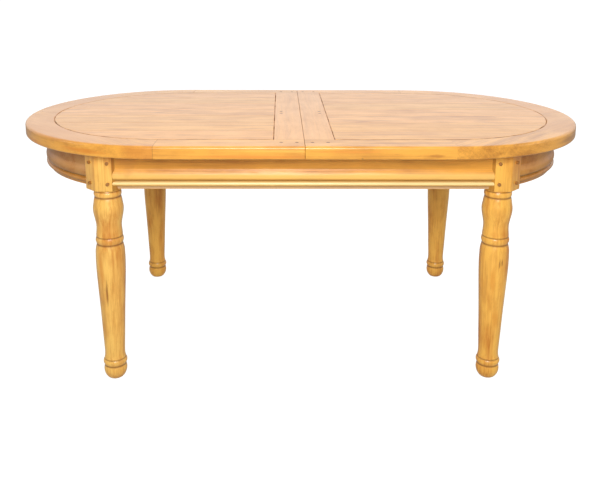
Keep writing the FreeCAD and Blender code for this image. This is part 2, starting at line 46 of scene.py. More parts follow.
# The photographer's place: a little left of the middle, at about the eye height of a seated person, and
# looking slightly down. The table sits high in the picture, so the lens is shifted.
lens = bpy.data.cameras.new("camera")
lens.sensor_width = 36.0
lens.lens = 43.53
lens.shift_x = 0.02
lens.shift_y = -0.19
camera = bpy.data.objects.new("camera", lens)
scene.collection.objects.link(camera)
turn = Matrix.Rotation(math.radians(-0.599), 4, "Z")
tilt = Matrix.Rotation(math.radians(90 - 11.398), 4, "X")
roll = Matrix.Rotation(math.radians(0.206), 4, "Z")
stand = Matrix.Translation((-0.068, -2.466, 1.214))
camera.matrix_world = stand @ turn @ tilt @ roll
scene.camera = camera
scene.view_settings.view_transform = "Standard"


# A white studio: a pale floor, a soft box above the camera that throws the short shadow of the top's edge
# on the apron, a weak one overhead and on each side, and a white room that is brightest behind the table.
def white_light(tree, seen_strength, room_strength):
    """Emission that the camera sees at one strength and the table at another."""
    light_path = tree.nodes.new("ShaderNodeLightPath")
    either = tree.nodes.new("ShaderNodeMix")
    either.inputs[3].default_value = seen_strength
    tree.links.new(light_path.outputs["Is Camera Ray"], either.inputs[0])
    if isinstance(room_strength, float):
        either.inputs[2].default_value = room_strength
    else:
        tree.links.new(room_strength, either.inputs[2])
    return either.outputs[0]


def studio_floor():
    bpy.ops.object.select_all(action="DESELECT")
    bpy.ops.mesh.primitive_plane_add(size=60.0, location=(0, 0, 0))
    floor = bpy.context.object
    floor.name = "studio_floor"
    paint = bpy.data.materials.new("studio_floor")
    paint.use_nodes = True
    shader = paint.node_tree.nodes["Principled BSDF"]
    shader.inputs["Base Color"].default_value = (0.25, 0.25, 0.25, 1)
    shader.inputs["Roughness"].default_value = 0.9
    shader.inputs["Specular IOR Level"].default_value = 0.0
    shader.inputs["Emission Color"].default_value = (1, 1, 1, 1)
    glow = white_light(paint.node_tree, seen_strength=0.95, room_strength=0.22)
    paint.node_tree.links.new(glow, shader.inputs["Emission Strength"])
    floor.data.materials.append(paint)


def soft_box(name, place, aim, wide, tall, power):
    lamp = bpy.data.lights.new(name, "AREA")
    lamp.shape = "RECTANGLE"
    lamp.size = wide
    lamp.size_y = tall
    lamp.energy = power
    holder = bpy.data.objects.new(name, lamp)
    scene.collection.objects.link(holder)
    holder.location = place
    holder.rotation_euler = (Vector(aim) - Vector(place)).to_track_quat("-Z", "Y").to_euler()


studio_floor()
soft_box("key_box", (-0.1, -2.85, 1.68), aim=(0, -0.45, 0.62), wide=1.1, tall=0.8, power=58)
soft_box("top_box", (0, -0.1, 3.0), aim=(0, 0, 0.7), wide=1.8, tall=1.0, power=15)
soft_box("left_box", (-4.0, -1.2, 1.8), aim=(0, 0, 0.5), wide=1.6, tall=1.6, power=13)
soft_box("right_box", (4.0, -1.2, 1.8), aim=(0, 0, 0.5), wide=1.6, tall=1.6, power=15)
world = bpy.data.worlds.new("white_room")
world.use_nodes = True
room = world.node_tree
backdrop = room.nodes["Background"]
backdrop.inputs["Color"].default_value = (1, 1, 1, 1)
aim = room.nodes.new("ShaderNodeSeparateXYZ")
room.links.new(room.nodes.new("ShaderNodeTexCoord").outputs["Generated"], aim.inputs[0])
wall = room.nodes.new("ShaderNodeMapRange")
wall.inputs["From Min"].default_value = 0.0
wall.inputs["From Max"].default_value = 0.75
wall.inputs["To Min"].default_value = 0.28
wall.inputs["To Max"].default_value = 1.1
room.links.new(aim.outputs["Y"], wall.inputs["Value"])
glow = white_light(room, seen_strength=1.1, room_strength=wall.outputs["Result"])
room.links.new(glow, backdrop.inputs["Strength"])
scene.world = world


# Border of the top: straight rails along the sides and curved pieces round the ends, sawn from solid
# honey-coloured boards 38 mm thick, dowelled end to end and finished with a clear satin lacquer. The grain
# runs along each rail, and along the chord of each curved piece.
rail_low, rail_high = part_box("right_front_rail")
curve_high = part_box("right_front_curve")[1]
top_face = rail_high.z
straight_half = rail_high.x
half_width = -rail_low.y
field_half = -rail_high.y
border_width = half_width - field_half
end_length = curve_high.x - straight_half
field_reach = end_length - border_width
cross_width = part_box("right_cross_rail")[1].x
scored_half = 0.0018
scored_deeper = 0.0022
joint_half = 0.0011
joint_core = 0.0004
past_field = 0.001

pore_brown = (0.16, 0.07, 0.025, 1)
dent_brown = (0.2, 0.08, 0.02, 1)
score_brown = (0.13, 0.035, 0.008, 1)
joint_brown = (0.2, 0.06, 0.012, 1)
seam_brown = (0.26, 0.08, 0.02, 1)
# The next two colours are painted shade, in the legs' turned grooves and on the blocks' inner facets.
groove_shade_brown = (0.24, 0.075, 0.012, 1)
corner_shade = (0.55, 0.46, 0.28, 1)


def group(name, takes, gives):
    """An empty node group with named inputs and outputs."""
    made = bpy.data.node_groups.new(name, "ShaderNodeTree")
    for label, kind, value in takes:
        socket = made.interface.new_socket(label, in_out="INPUT", socket_type=kind)
        if value is not None:
            socket.default_value = value
    for label, kind in gives:
        made.interface.new_socket(label, in_out="OUTPUT", socket_type=kind)
    return made, made.nodes.new("NodeGroupInput"), made.nodes.new("NodeGroupOutput")


def math_node(tree, what, a, b=None, c=None):
    """One sum. Each of a, b and c is a number or the output of another node."""
    step = tree.nodes.new("ShaderNodeMath")
    step.operation = what
    for slot, value in zip(step.inputs, (a, b, c)):
        if isinstance(value, (int, float)):
            slot.default_value = value
        elif value is not None:
            tree.links.new(value, slot)
    return step.outputs[0]


def stretched(tree, vector, scale):
    step = tree.nodes.new("ShaderNodeVectorMath")
    step.operation = "MULTIPLY"
    step.inputs[1].default_value = scale
    tree.links.new(vector, step.inputs[0])
    return step.outputs[0]


def cloudy(tree, vector, scale, detail=2.0, rough=0.5):
    """Noise from 0 to 1. Scale is its waves per metre along the grain and on the two ways across it."""
    step = tree.nodes.new("ShaderNodeTexNoise")
    step.inputs["Scale"].default_value = 1.0
    step.inputs["Detail"].default_value = detail
    step.inputs["Roughness"].default_value = rough
    tree.links.new(stretched(tree, vector, scale), step.inputs["Vector"])
    return step.outputs["Fac"]


def between(tree, value, low, high):
    """A smooth step from 0 where value is low to 1 where it is high."""
    step = tree.nodes.new("ShaderNodeMapRange")
    step.interpolation_type = "SMOOTHSTEP"
    step.inputs["From Min"].default_value = low
    step.inputs["From Max"].default_value = high
    tree.links.new(value, step.inputs["Value"])
    return step.outputs["Result"]


def blend_colour(tree, amount, first, second, how="MIX"):
    step = tree.nodes.new("ShaderNodeMix")
    step.data_type = "RGBA"
    step.blend_type = how
    for slot, value in ((step.inputs[0], amount), (step.inputs[6], first), (step.inputs[7], second)):
        if hasattr(value, "is_linked"):
            tree.links.new(value, slot)
        else:
            slot.default_value = value
    return step.outputs[2]


def make_grain_group():
    """Growth rings round a pith line, fibres and pores along it, and a slow change of tone."""
    tree, takes, gives = group(
        "timber_grain",
        [
            ("Vector", "NodeSocketVector", None),
            ("Pale", "NodeSocketColor", (0.8, 0.5, 0.2, 1)),
            ("Brown", "NodeSocketColor", (0.5, 0.22, 0.06, 1)),
            ("Ring Width", "NodeSocketFloat", 0.007),
            ("Rings", "NodeSocketFloat", 0.5),
            ("Streaks", "NodeSocketFloat", 0.5),
        ],
        [("Color", "NodeSocketColor"), ("Height", "NodeSocketFloat"), ("Roughness", "NodeSocketFloat")],
    )
    place = takes.outputs["Vector"]
    sway = tree.nodes.new("ShaderNodeTexNoise")
    sway.inputs["Scale"].default_value = 1.0
    sway.inputs["Detail"].default_value = 1.0
    tree.links.new(stretched(tree, place, (1.6, 5.0, 5.0)), sway.inputs["Vector"])
    centred = tree.nodes.new("ShaderNodeVectorMath")
    centred.operation = "SUBTRACT"
    centred.inputs[1].default_value = (0.5, 0.5, 0.5)
    tree.links.new(sway.outputs["Color"], centred.inputs[0])
    shifted = tree.nodes.new("ShaderNodeVectorMath")
    shifted.operation = "ADD"
    tree.links.new(stretched(tree, centred.outputs[0], (0.0, 0.06, 0.06)), shifted.inputs[0])
    tree.links.new(place, shifted.inputs[1])
    across = tree.nodes.new("ShaderNodeVectorMath")
    across.operation = "LENGTH"
    tree.links.new(stretched(tree, shifted.outputs[0], (0.0, 1.0, 1.0)), across.inputs[0])
    ripple = math_node(tree, "MULTIPLY", cloudy(tree, place, (4.0, 60.0, 60.0)), 0.004)
    radius = math_node(tree, "ADD", across.outputs["Value"], ripple)
    years = math_node(tree, "DIVIDE", radius, takes.outputs["Ring Width"])
    wave = math_node(tree, "SINE", math_node(tree, "MULTIPLY", years, math.tau))
    late = math_node(tree, "POWER", math_node(tree, "MULTIPLY_ADD", wave, 0.5, 0.5), 1.7)
    season = tree.nodes.new("ShaderNodeTexNoise")
    season.noise_dimensions = "1D"
    season.inputs["Scale"].default_value = 0.6
    season.inputs["Detail"].default_value = 2.0
    tree.links.new(years, season.inputs["W"])
    late = math_node(tree, "MULTIPLY", late, between(tree, season.outputs["Fac"], 0.3, 0.68))
    fibre = cloudy(tree, place, (5.0, 330.0, 330.0), detail=4.0, rough=0.65)
    band = cloudy(tree, place, (1.1, 34.0, 34.0), detail=3.0, rough=0.6)
    patch = cloudy(tree, place, (7.0, 16.0, 16.0), detail=3.0, rough=0.55)
    pore = between(tree, cloudy(tree, place, (40.0, 1100.0, 1100.0), rough=0.6), 0.6, 0.72)
    tone = math_node(tree, "MULTIPLY", late, takes.outputs["Rings"])
    for value, share in ((fibre, 0.6), (band, 1.0), (patch, 1.1)):
        part = math_node(tree, "MULTIPLY", math_node(tree, "SUBTRACT", value, 0.5), share)
        part = math_node(tree, "MULTIPLY", part, takes.outputs["Streaks"])
        tone = math_node(tree, "ADD", tone, part)
    tone = math_node(tree, "ADD", tone, 0.22)
    clamp = tree.nodes.new("ShaderNodeClamp")
    tree.links.new(tone, clamp.inputs["Value"])
    colour = blend_colour(tree, clamp.outputs[0], takes.outputs["Pale"], takes.outputs["Brown"])
    colour = blend_colour(tree, math_node(tree, "MULTIPLY", pore, 0.3), colour, pore_brown)
    tree.links.new(colour, gives.inputs["Color"])
    height = math_node(tree, "MULTIPLY_ADD", fibre, 0.5, math_node(tree, "MULTIPLY", late, 0.25))
    tree.links.new(math_node(tree, "SUBTRACT", height, pore), gives.inputs["Height"])
    rough = math_node(tree, "MULTIPLY_ADD", patch, 0.14, 0.3)
    rough = math_node(tree, "MULTIPLY_ADD", pore, 0.12, rough)
    tree.links.new(rough, gives.inputs["Roughness"])
    return tree


def make_marks_group():
    """Small dents and worm marks that the maker leaves in rustic timber, dark in the middle."""
    tree, takes, gives = group(
        "rustic_marks",
        [("Vector", "NodeSocketVector", None), ("Number", "NodeSocketFloat", 0.3)],
        [("Mask", "NodeSocketFloat")],
    )
    spot = tree.nodes.new("ShaderNodeTexVoronoi")
    spot.inputs["Scale"].default_value = 17.0
    tree.links.new(stretched(tree, takes.outputs["Vector"], (0.6, 1.0, 1.0)), spot.inputs["Vector"])
    near = between(tree, spot.outputs["Distance"], 0.045, 0.015)
    pick = tree.nodes.new("ShaderNodeSeparateColor")
    tree.links.new(spot.outputs["Color"], pick.inputs[0])
    chosen = math_node(tree, "LESS_THAN", pick.outputs[0], takes.outputs["Number"])
    tree.links.new(math_node(tree, "MULTIPLY", near, chosen), gives.inputs["Mask"])
    return tree


def make_lines_group():
    """The line scored round the planked field, darkest where the tool went deep, and the fine end joints.

    The rail's joint with the curve at the front right is too tight to show.
    """
    tree, takes, gives = group(
        "scored_lines",
        [("Vector", "NodeSocketVector", None)],
        [("Score", "NodeSocketFloat"), ("Joint", "NodeSocketFloat")],
    )
    place = takes.outputs["Vector"]
    apart = tree.nodes.new("ShaderNodeSeparateXYZ")
    tree.links.new(place, apart.inputs[0])
    x = math_node(tree, "ABSOLUTE", apart.outputs["X"])
    y = math_node(tree, "ABSOLUTE", apart.outputs["Y"])
    reach = math_node(tree, "MAXIMUM", math_node(tree, "SUBTRACT", x, straight_half), 0.0)
    long_share = math_node(tree, "POWER", math_node(tree, "DIVIDE", reach, field_reach), 2.0)
    wide_share = math_node(tree, "POWER", math_node(tree, "DIVIDE", y, field_half), 2.0)
    oval = math_node(tree, "SQRT", math_node(tree, "ADD", long_share, wide_share))
    mean_reach = (field_reach + field_half) / 2
    side = math_node(tree, "MULTIPLY", math_node(tree, "SUBTRACT", oval, 1.0), mean_reach)
    line = math_node(tree, "MAXIMUM", side, math_node(tree, "SUBTRACT", cross_width, x))
    line = math_node(tree, "ABSOLUTE", line)
    depth = between(tree, cloudy(tree, place, (13.0, 13.0, 13.0), detail=3.0, rough=0.65), 0.36, 0.66)
    width = math_node(tree, "MULTIPLY_ADD", depth, scored_deeper, scored_half)
    past_cross = between(tree, x, cross_width + 0.002, cross_width + 0.022)
    width = math_node(tree, "MULTIPLY", width, math_node(tree, "MULTIPLY_ADD", past_cross, 0.4, 0.6))
    score = math_node(tree, "SUBTRACT", 1.0, math_node(tree, "DIVIDE", line, width))
    score = between(tree, score, 0.0, 0.45)
    score = math_node(tree, "MULTIPLY", score, math_node(tree, "MULTIPLY_ADD", depth, 0.5, 0.5))
    tree.links.new(score, gives.inputs["Score"])
    at_curve = math_node(tree, "ABSOLUTE", math_node(tree, "SUBTRACT", x, straight_half))
    at_curve = math_node(tree, "ADD", at_curve, math_node(tree, "LESS_THAN", y, field_half + past_field))
    on_right = math_node(tree, "GREATER_THAN", apart.outputs["X"], 0.0)
    in_front = math_node(tree, "LESS_THAN", apart.outputs["Y"], 0.0)
    at_curve = math_node(tree, "ADD", at_curve, math_node(tree, "MULTIPLY", on_right, in_front))
    field_tip = straight_half + field_reach + past_field
    at_tip = math_node(tree, "ADD", y, math_node(tree, "LESS_THAN", x, field_tip))
    at_rail = math_node(tree, "ABSOLUTE", math_node(tree, "SUBTRACT", y, field_half))
    at_rail = math_node(tree, "ADD", at_rail, math_node(tree, "GREATER_THAN", x, cross_width))
    nearest = math_node(tree, "MINIMUM", math_node(tree, "MINIMUM", at_curve, at_tip), at_rail)
    nearest = math_node(tree, "MINIMUM", nearest, x)
    tree.links.new(between(tree, nearest, joint_half, joint_core), gives.inputs["Joint"])
    return tree


def make_shade_group():
    """A patch with a ragged edge, as long and wide as its reach: a knot, a stained spot, a board's brown
    end, or painted light.
    """
    tree, takes, gives = group(
        "shaded_patch",
        [
            ("Vector", "NodeSocketVector", None),
            ("Centre", "NodeSocketVector", (0, 0, 0)),
            ("Reach", "NodeSocketVector", (0.1, 0.1, 0.1)),
        ],
        [("Mask", "NodeSocketFloat")],
    )
    off = tree.nodes.new("ShaderNodeVectorMath")
    off.operation = "SUBTRACT"
    tree.links.new(takes.outputs["Vector"], off.inputs[0])
    tree.links.new(takes.outputs["Centre"], off.inputs[1])
    share = tree.nodes.new("ShaderNodeVectorMath")
    share.operation = "DIVIDE"
    tree.links.new(off.outputs[0], share.inputs[0])
    tree.links.new(takes.outputs["Reach"], share.inputs[1])
    far = tree.nodes.new("ShaderNodeVectorMath")
    far.operation = "LENGTH"
    tree.links.new(share.outputs[0], far.inputs[0])
    ragged = cloudy(tree, share.outputs[0], (1.7, 1.7, 1.7), detail=3.0)
    ragged = math_node(tree, "MULTIPLY_ADD", ragged, 0.9, -0.45)
    edge = math_node(tree, "ADD", far.outputs["Value"], ragged)
    tree.links.new(between(tree, edge, 1.0, 0.25), gives.inputs["Mask"])
    return tree


grain_group = make_grain_group()
marks_group = make_marks_group()
lines_group = make_lines_group()
shade_group = make_shade_group()


def use_group(tree, which, **values):
    step = tree.nodes.new("ShaderNodeGroup")
    step.node_tree = which
    for label, value in values.items():
        slot = step.inputs[label.replace("_", " ")]
        if hasattr(value, "is_linked"):
            tree.links.new(value, slot)
        else:
            slot.default_value = value
    return step


def grain_turn(along):
    """The turn onto the pattern's X from the grain's way, an axis or an angle in the top's plane."""
    if along == "Z":
        return (0, math.radians(90), 0)
    angle = {"X": 0.0, "Y": 90.0}.get(along, along)
    return (0, 0, -math.radians(angle))


def timber(name, along, middle, pith, pale, brown, rings, streaks, ring_width=0.007, marks=0.25,
           lines=False, seams=(), groove=False, coat=0.55, coat_rough=0.2, gloss=0.4, shades=()):
    """Lacquered solid timber. Middle is the piece's centre, and pith is its place in the tree's grain.

    Shades are patches, each with its centre, its reach along the axes, its colour and its strength.
    """
    made = bpy.data.materials.new(name)
    made.use_nodes = True
    tree = made.node_tree
    shader = tree.nodes["Principled BSDF"]
    spot = tree.nodes.new("ShaderNodeTexCoord").outputs["Object"]
    map_step = tree.nodes.new("ShaderNodeMapping")
    turned = grain_turn(along)
    map_step.inputs["Rotation"].default_value = turned
    swing = Matrix.Rotation(turned[2], 3, "Z") @ Matrix.Rotation(turned[1], 3, "Y")
    map_step.inputs["Location"].default_value = Vector(pith) - swing @ Vector(middle)
    tree.links.new(spot, map_step.inputs["Vector"])
    log = map_step.outputs["Vector"]
    grain = use_group(tree, grain_group, Vector=log, Pale=pale, Brown=brown, Ring_Width=ring_width,
                      Rings=rings, Streaks=streaks)
    colour = grain.outputs["Color"]
    dents = use_group(tree, marks_group, Vector=log, Number=marks).outputs["Mask"]
    colour = blend_colour(tree, math_node(tree, "MULTIPLY", dents, 0.6), colour, dent_brown)
    dent_depth = math_node(tree, "MULTIPLY", dents, 3.0)
    height = math_node(tree, "SUBTRACT", grain.outputs["Height"], dent_depth)
    rough = grain.outputs["Roughness"]
    shader.inputs["Coat Weight"].default_value = coat
    if lines:
        scored = use_group(tree, lines_group, Vector=spot)
        score = math_node(tree, "MULTIPLY", scored.outputs["Score"], 0.75)
        colour = blend_colour(tree, score, colour, score_brown)
        joint = math_node(tree, "MULTIPLY", scored.outputs["Joint"], 0.6)
        colour = blend_colour(tree, joint, colour, joint_brown)
        bare = math_node(tree, "MAXIMUM", score, joint)
        rough = math_node(tree, "MAXIMUM", rough, bare)
        coated = math_node(tree, "MULTIPLY", math_node(tree, "SUBTRACT", 1.0, bare), coat)
        tree.links.new(coated, shader.inputs["Coat Weight"])
        height = math_node(tree, "SUBTRACT", height, math_node(tree, "MULTIPLY", score, 2.0))
    if seams:
        apart = tree.nodes.new("ShaderNodeSeparateXYZ")
        tree.links.new(spot, apart.inputs[0])
        for seam in seams:
            off = math_node(tree, "ABSOLUTE", math_node(tree, "SUBTRACT", apart.outputs["Y"], seam))
            dark = math_node(tree, "MULTIPLY", between(tree, off, 0.0013, 0.0003), 0.6)
            colour = blend_colour(tree, dark, colour, seam_brown)
    for centre, reach, shade, strength in shades:
        near = use_group(tree, shade_group, Vector=spot, Centre=centre, Reach=reach).outputs["Mask"]
        colour = blend_colour(tree, math_node(tree, "MULTIPLY", near, strength), colour, shade)
    # Painted shade: darker in the turned grooves and on the block's facet that meets the apron.
    if groove:
        groove_shade_mask = tree.nodes.new("ShaderNodeAttribute")
        groove_shade_mask.attribute_name = "groove"
        colour = blend_colour(tree, groove_shade_mask.outputs["Fac"], colour, groove_shade_brown)
        corner = tree.nodes.new("ShaderNodeAttribute")
        corner.attribute_name = "corner"
        colour = blend_colour(tree, corner.outputs["Fac"], colour, corner_shade, how="MULTIPLY")
    tree.links.new(colour, shader.inputs["Base Color"])
    tree.links.new(rough, shader.inputs["Roughness"])
    shader.inputs["Coat Roughness"].default_value = coat_rough
    shader.inputs["Specular IOR Level"].default_value = gloss
    bump = tree.nodes.new("ShaderNodeBump")
    bump.inputs["Strength"].default_value = 0.18
    bump.inputs["Distance"].default_value = 0.0004
    tree.links.new(height, bump.inputs["Height"])
    tree.links.new(bump.outputs["Normal"], shader.inputs["Normal"])
    return made


def dress(node, material):
    """Gives a CAD node its finish. Its mesh stays as it is."""
    piece = nodes[node]
    piece.data.materials.clear()
    piece.data.materials.append(material)
    for face in piece.data.polygons:
        face.material_index = 0


def middle_of(node):
    low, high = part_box(node)
    return (low + high) / 2


honey = (0.92, 0.43, 0.06, 1)
honey_yellow = (0.97, 0.52, 0.085, 1)
honey_pink = (0.95, 0.43, 0.075, 1)
tan = (0.55, 0.2, 0.025, 1)
tan_dark = (0.42, 0.14, 0.015, 1)
chord = math.degrees(math.atan2(half_width - border_width / 2, end_length - border_width / 2))
border_boards = {
    "left_front_rail": ("X", honey, tan, (0.3, 0.05, 0.09)),
    "left_back_rail": ("X", honey, tan, (1.7, -0.04, 0.12)),
    "right_front_rail": ("X", honey, tan_dark, (2.9, 0.02, 0.07)),
    "right_back_rail": ("X", honey_pink, tan, (4.3, 0.06, -0.1)),
    "left_front_curve": (-chord, honey, tan, (5.1, 0.03, 0.1)),
    "right_front_curve": (chord, honey, tan_dark, (6.7, -0.05, 0.08)),
    "left_back_curve": (chord, honey, tan, (7.9, 0.02, -0.11)),
    "right_back_curve": (-chord, honey_pink, tan, (9.3, -0.03, 0.09)),
}
end_rose = (0.72, 0.3, 0.06, 1)
front_edge = -half_width
on_top = top_face + 0.003
board_shades = {
    "left_front_rail": (
        ((-0.15, front_edge, 0.735), (0.25, 0.03, 0.007), (0.8, 0.25, 0.03, 1), 0.6),
        ((-0.05, front_edge, 0.752), (0.22, 0.03, 0.006), (1.0, 0.55, 0.1, 1), 0.6),
    ),
    "left_front_curve": (
        ((-0.44, -0.52, 0.74), (0.1, 0.06, 0.05), (0.62, 0.2, 0.025, 1), 0.5),
        ((-0.62, -0.47, 0.742), (0.12, 0.08, 0.009), (0.75, 0.24, 0.02, 1), 0.7),
        ((-0.8, -0.3, 0.735), (0.06, 0.12, 0.008), (0.8, 0.27, 0.03, 1), 0.7),
        ((-0.9, -0.12, 0.74), (0.03, 0.1, 0.03), (0.3, 0.11, 0.015, 1), 0.6),
        ((-0.75, -0.25, on_top), (0.35, 0.4, 0.01), end_rose, 0.9),
    ),
    "left_back_curve": (((-0.8, 0.15, on_top), (0.35, 0.45, 0.01), end_rose, 0.8),),
    "right_front_curve": (
        ((0.8, -0.3, 0.745), (0.1, 0.15, 0.009), (0.5, 0.2, 0.015, 1), 0.6),
        ((0.82, -0.15, on_top), (0.25, 0.3, 0.01), end_rose, 0.7),
    ),
    "right_back_curve": (((0.8, 0.15, on_top), (0.25, 0.3, 0.01), end_rose, 0.6),),
    "right_front_rail": (
        ((0.365, front_edge, 0.738), (0.03, 0.03, 0.007), (0.42, 0.14, 0.02, 1), 0.6),
        ((0.12, front_edge, 0.75), (0.16, 0.03, 0.006), (0.8, 0.27, 0.04, 1), 0.5),
    ),
}
for board, (along, pale, brown, pith) in border_boards.items():
    look = timber(board, along, middle_of(board), pith, pale, brown, rings=0.12, streaks=1.6,
                  lines=True, coat=0.5, shades=board_shades.get(board, ()))
    dress(board, look)


# Cross rails: one wide board on each side of the parting, tenoned between the side rails and pegged from
# above. The grain runs across the table.
cross_rails = {"left_cross_rail": (0.4, 0.05, 0.1), "right_cross_rail": (3.1, -0.06, 0.08)}
for board, pith in cross_rails.items():
    look = timber(board, "Y", middle_of(board), pith, honey_pink, tan, rings=0.15, streaks=0.7, lines=True)
    dress(board, look)


# Planks of the field: seven solid boards on each side, 24 mm thick, tongued into one another and into the
# border, each from another part of the tree, with a fine vee between them.
plank_tones = (
    (honey_pink, tan), (honey, tan), (honey_pink, tan_dark), (honey, tan),
    (honey_pink, tan), (honey_pink, tan), (honey, tan),
)
plank_count = len(plank_tones)
pitch = 2 * field_half / plank_count
for half, start in (("left", 0), ("right", 3)):
    for i in range(plank_count):
        board = "%s_plank_%d" % (half, i + 1)
        pale, brown = plank_tones[(i * 3 + start) % plank_count]
        pith = (1.3 * i + start, 0.07 * math.sin(2.1 * i + start), 0.05 + 0.03 * ((i * 2 + start) % 4))
        seams = (i * pitch - field_half, (i + 1) * pitch - field_half)
        look = timber(board, "X", middle_of(board), pith, pale, brown, rings=0.25, streaks=1.2,
                      ring_width=0.008, lines=True, seams=seams, coat=0.48)
        dress(board, look)


# Pegs of the top: round hardwood pegs, driven through the tenons from above and cut flush. Their end grain
# has drunk more lacquer than the boards, so it is darker, and darkest round the rim.
peg_radius = 0.005
rim_start = 0.0036
rail_peg_y = field_half + 0.037
plank_peg_y = 0.0185
near_split = cross_width / 4
off_split = cross_width * 3 / 4
peg_dark = (0.34, 0.13, 0.03, 1)
peg_rim = (0.1, 0.035, 0.01, 1)
dowel_pale = (0.7, 0.42, 0.18, 1)
dowel_rim = (0.5, 0.26, 0.1, 1)


def peg_timber(name, centres, face, rim):
    made = bpy.data.materials.new(name)
    made.use_nodes = True
    tree = made.node_tree
    shader = tree.nodes["Principled BSDF"]
    spot = tree.nodes.new("ShaderNodeTexCoord").outputs["Object"]
    speck = cloudy(tree, spot, (700.0, 700.0, 90.0), detail=3.0, rough=0.6)
    colour = blend_colour(tree, speck, face, rim)
    if centres:
        nearest = None
        for centre in centres:
            far = tree.nodes.new("ShaderNodeVectorMath")
            far.operation = "DISTANCE"
            far.inputs[1].default_value = centre
            tree.links.new(spot, far.inputs[0])
            value = far.outputs["Value"]
            nearest = value if nearest is None else math_node(tree, "MINIMUM", nearest, value)
        colour = blend_colour(tree, between(tree, nearest, rim_start, peg_radius), colour, rim)
    tree.links.new(colour, shader.inputs["Base Color"])
    shader.inputs["Roughness"].default_value = 0.6
    shader.inputs["Coat Weight"].default_value = 0.1
    shader.inputs["Coat Roughness"].default_value = 0.3
    bump = tree.nodes.new("ShaderNodeBump")
    bump.inputs["Strength"].default_value = 0.3
    bump.inputs["Distance"].default_value = 0.0004
    tree.links.new(speck, bump.inputs["Height"])
    tree.links.new(bump.outputs["Normal"], shader.inputs["Normal"])
    return made


for half, side in (("left", -1), ("right", 1)):
    spots = [(side * x, y, top_face) for y in (-rail_peg_y, rail_peg_y) for x in (near_split, off_split)]
    spots += [(side * off_split, y, top_face) for y in (-plank_peg_y, plank_peg_y)]
    dress(half + "_pegs", peg_timber(half + "_pegs", spots, peg_dark, peg_rim))
    dress(half + "_dowels", peg_timber(half + "_dowels", (), dowel_pale, dowel_rim))


# Legs: each turned from one post, with the block at its top left faceted for the aprons. A bead and a
# hollow lie under the block, a vase below them, a long tapered shaft, and a ball foot under an ankle ring.
# The turned grooves, and the facet of the block that meets the apron, are darkened with painted shade.
leg_low, leg_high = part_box("leg_front_right")
block_half = 0.045
block_chamfer = 0.0205
block_ease = 0.0014
block_bottom = 0.6092
post_sunk = 0.003
turning_radius = 0.045
turning_sides = 48
leg_x = leg_low.x + block_half
leg_y = -(leg_low.y + leg_high.y) / 2

# The outline in shares of the post's height and radius: beads and shoulders as arcs, the rest as curves.
foot = ((0.0, 0.445), (0.044, 0.775), (0.072, 0.725))
ankle_bead = ((0.077, 0.725), (0.092, 0.805), (0.107, 0.725))
shaft = (
    (0.109, 0.73), (0.125, 0.685), (0.15, 0.675), (0.23, 0.728), (0.36, 0.805),
    (0.48, 0.893), (0.57, 0.956), (0.635, 0.976), (0.67, 0.965),
)
shaft_shoulder = ((0.67, 0.965), (0.703, 0.925), (0.719, 0.86))
middle_bead = ((0.725, 0.86), (0.741, 0.922), (0.757, 0.86))
vase = (
    (0.7605, 0.875), (0.775, 0.86), (0.8, 0.828), (0.822, 0.834), (0.845, 0.888),
    (0.871, 0.962), (0.895, 1.0), (0.913, 0.985), (0.93, 0.94),
)
vase_shoulder = ((0.93, 0.94), (0.947, 0.908), (0.96, 0.86))
neck_bead = ((0.963, 0.86), (0.976, 0.905), (0.989, 0.86))


def placed(rows):
    return [Vector((block_bottom * height, turning_radius * reach)) for height, reach in rows]


def bow(rows, steps):
    """Points along the arc through three rows."""
    first, middle, last = placed(rows)
    near, far = middle - first, last - first
    across = Vector((
        far.y * near.length_squared - near.y * far.length_squared,
        near.x * far.length_squared - far.x * near.length_squared,
    ))
    centre = first + across / (2 * near.cross(far))
    spoke = first - centre
    sweep = math.atan2(spoke.cross(last - centre), spoke.dot(last - centre))
    return [centre + Matrix.Rotation(sweep * i / steps, 2) @ spoke for i in range(steps + 1)]


def curve(rows, steps):
    """Points along a smooth line through all the rows."""
    points = placed(rows)
    tangents = []
    for i in range(len(points)):
        run = points[min(i + 1, len(points) - 1)] - points[max(i - 1, 0)]
        tangents.append(run / run.x)
    outline = [points[0]]
    for i in range(len(points) - 1):
        third = (points[i + 1].x - points[i].x) / 3
        leaving = points[i] + third * tangents[i]
        arriving = points[i + 1] - third * tangents[i + 1]
        outline += interpolate_bezier(points[i], leaving, arriving, points[i + 1], steps + 1)[1:]
    return outline


turning = bow(foot, 8) + bow(ankle_bead, 6) + curve(shaft, 3) + bow(shaft_shoulder, 4)[1:]
turning += bow(middle_bead, 6) + curve(vase, 2) + bow(vase_shoulder, 4)[1:] + bow(neck_bead, 6)
turning.append(Vector((block_bottom + post_sunk, turning[-1].y)))


def edit_top(piece):
    """Opens a piece in edit mode with only its upper end selected."""
    scene.tool_settings.mesh_select_mode = (False, False, True)
    bpy.ops.object.mode_set(mode="EDIT")
    bpy.ops.mesh.select_all(action="DESELECT")
    bpy.ops.object.mode_set(mode="OBJECT")
    for face in piece.data.polygons:
        face.select = face.normal.z > 0.9
    bpy.ops.object.mode_set(mode="EDIT")


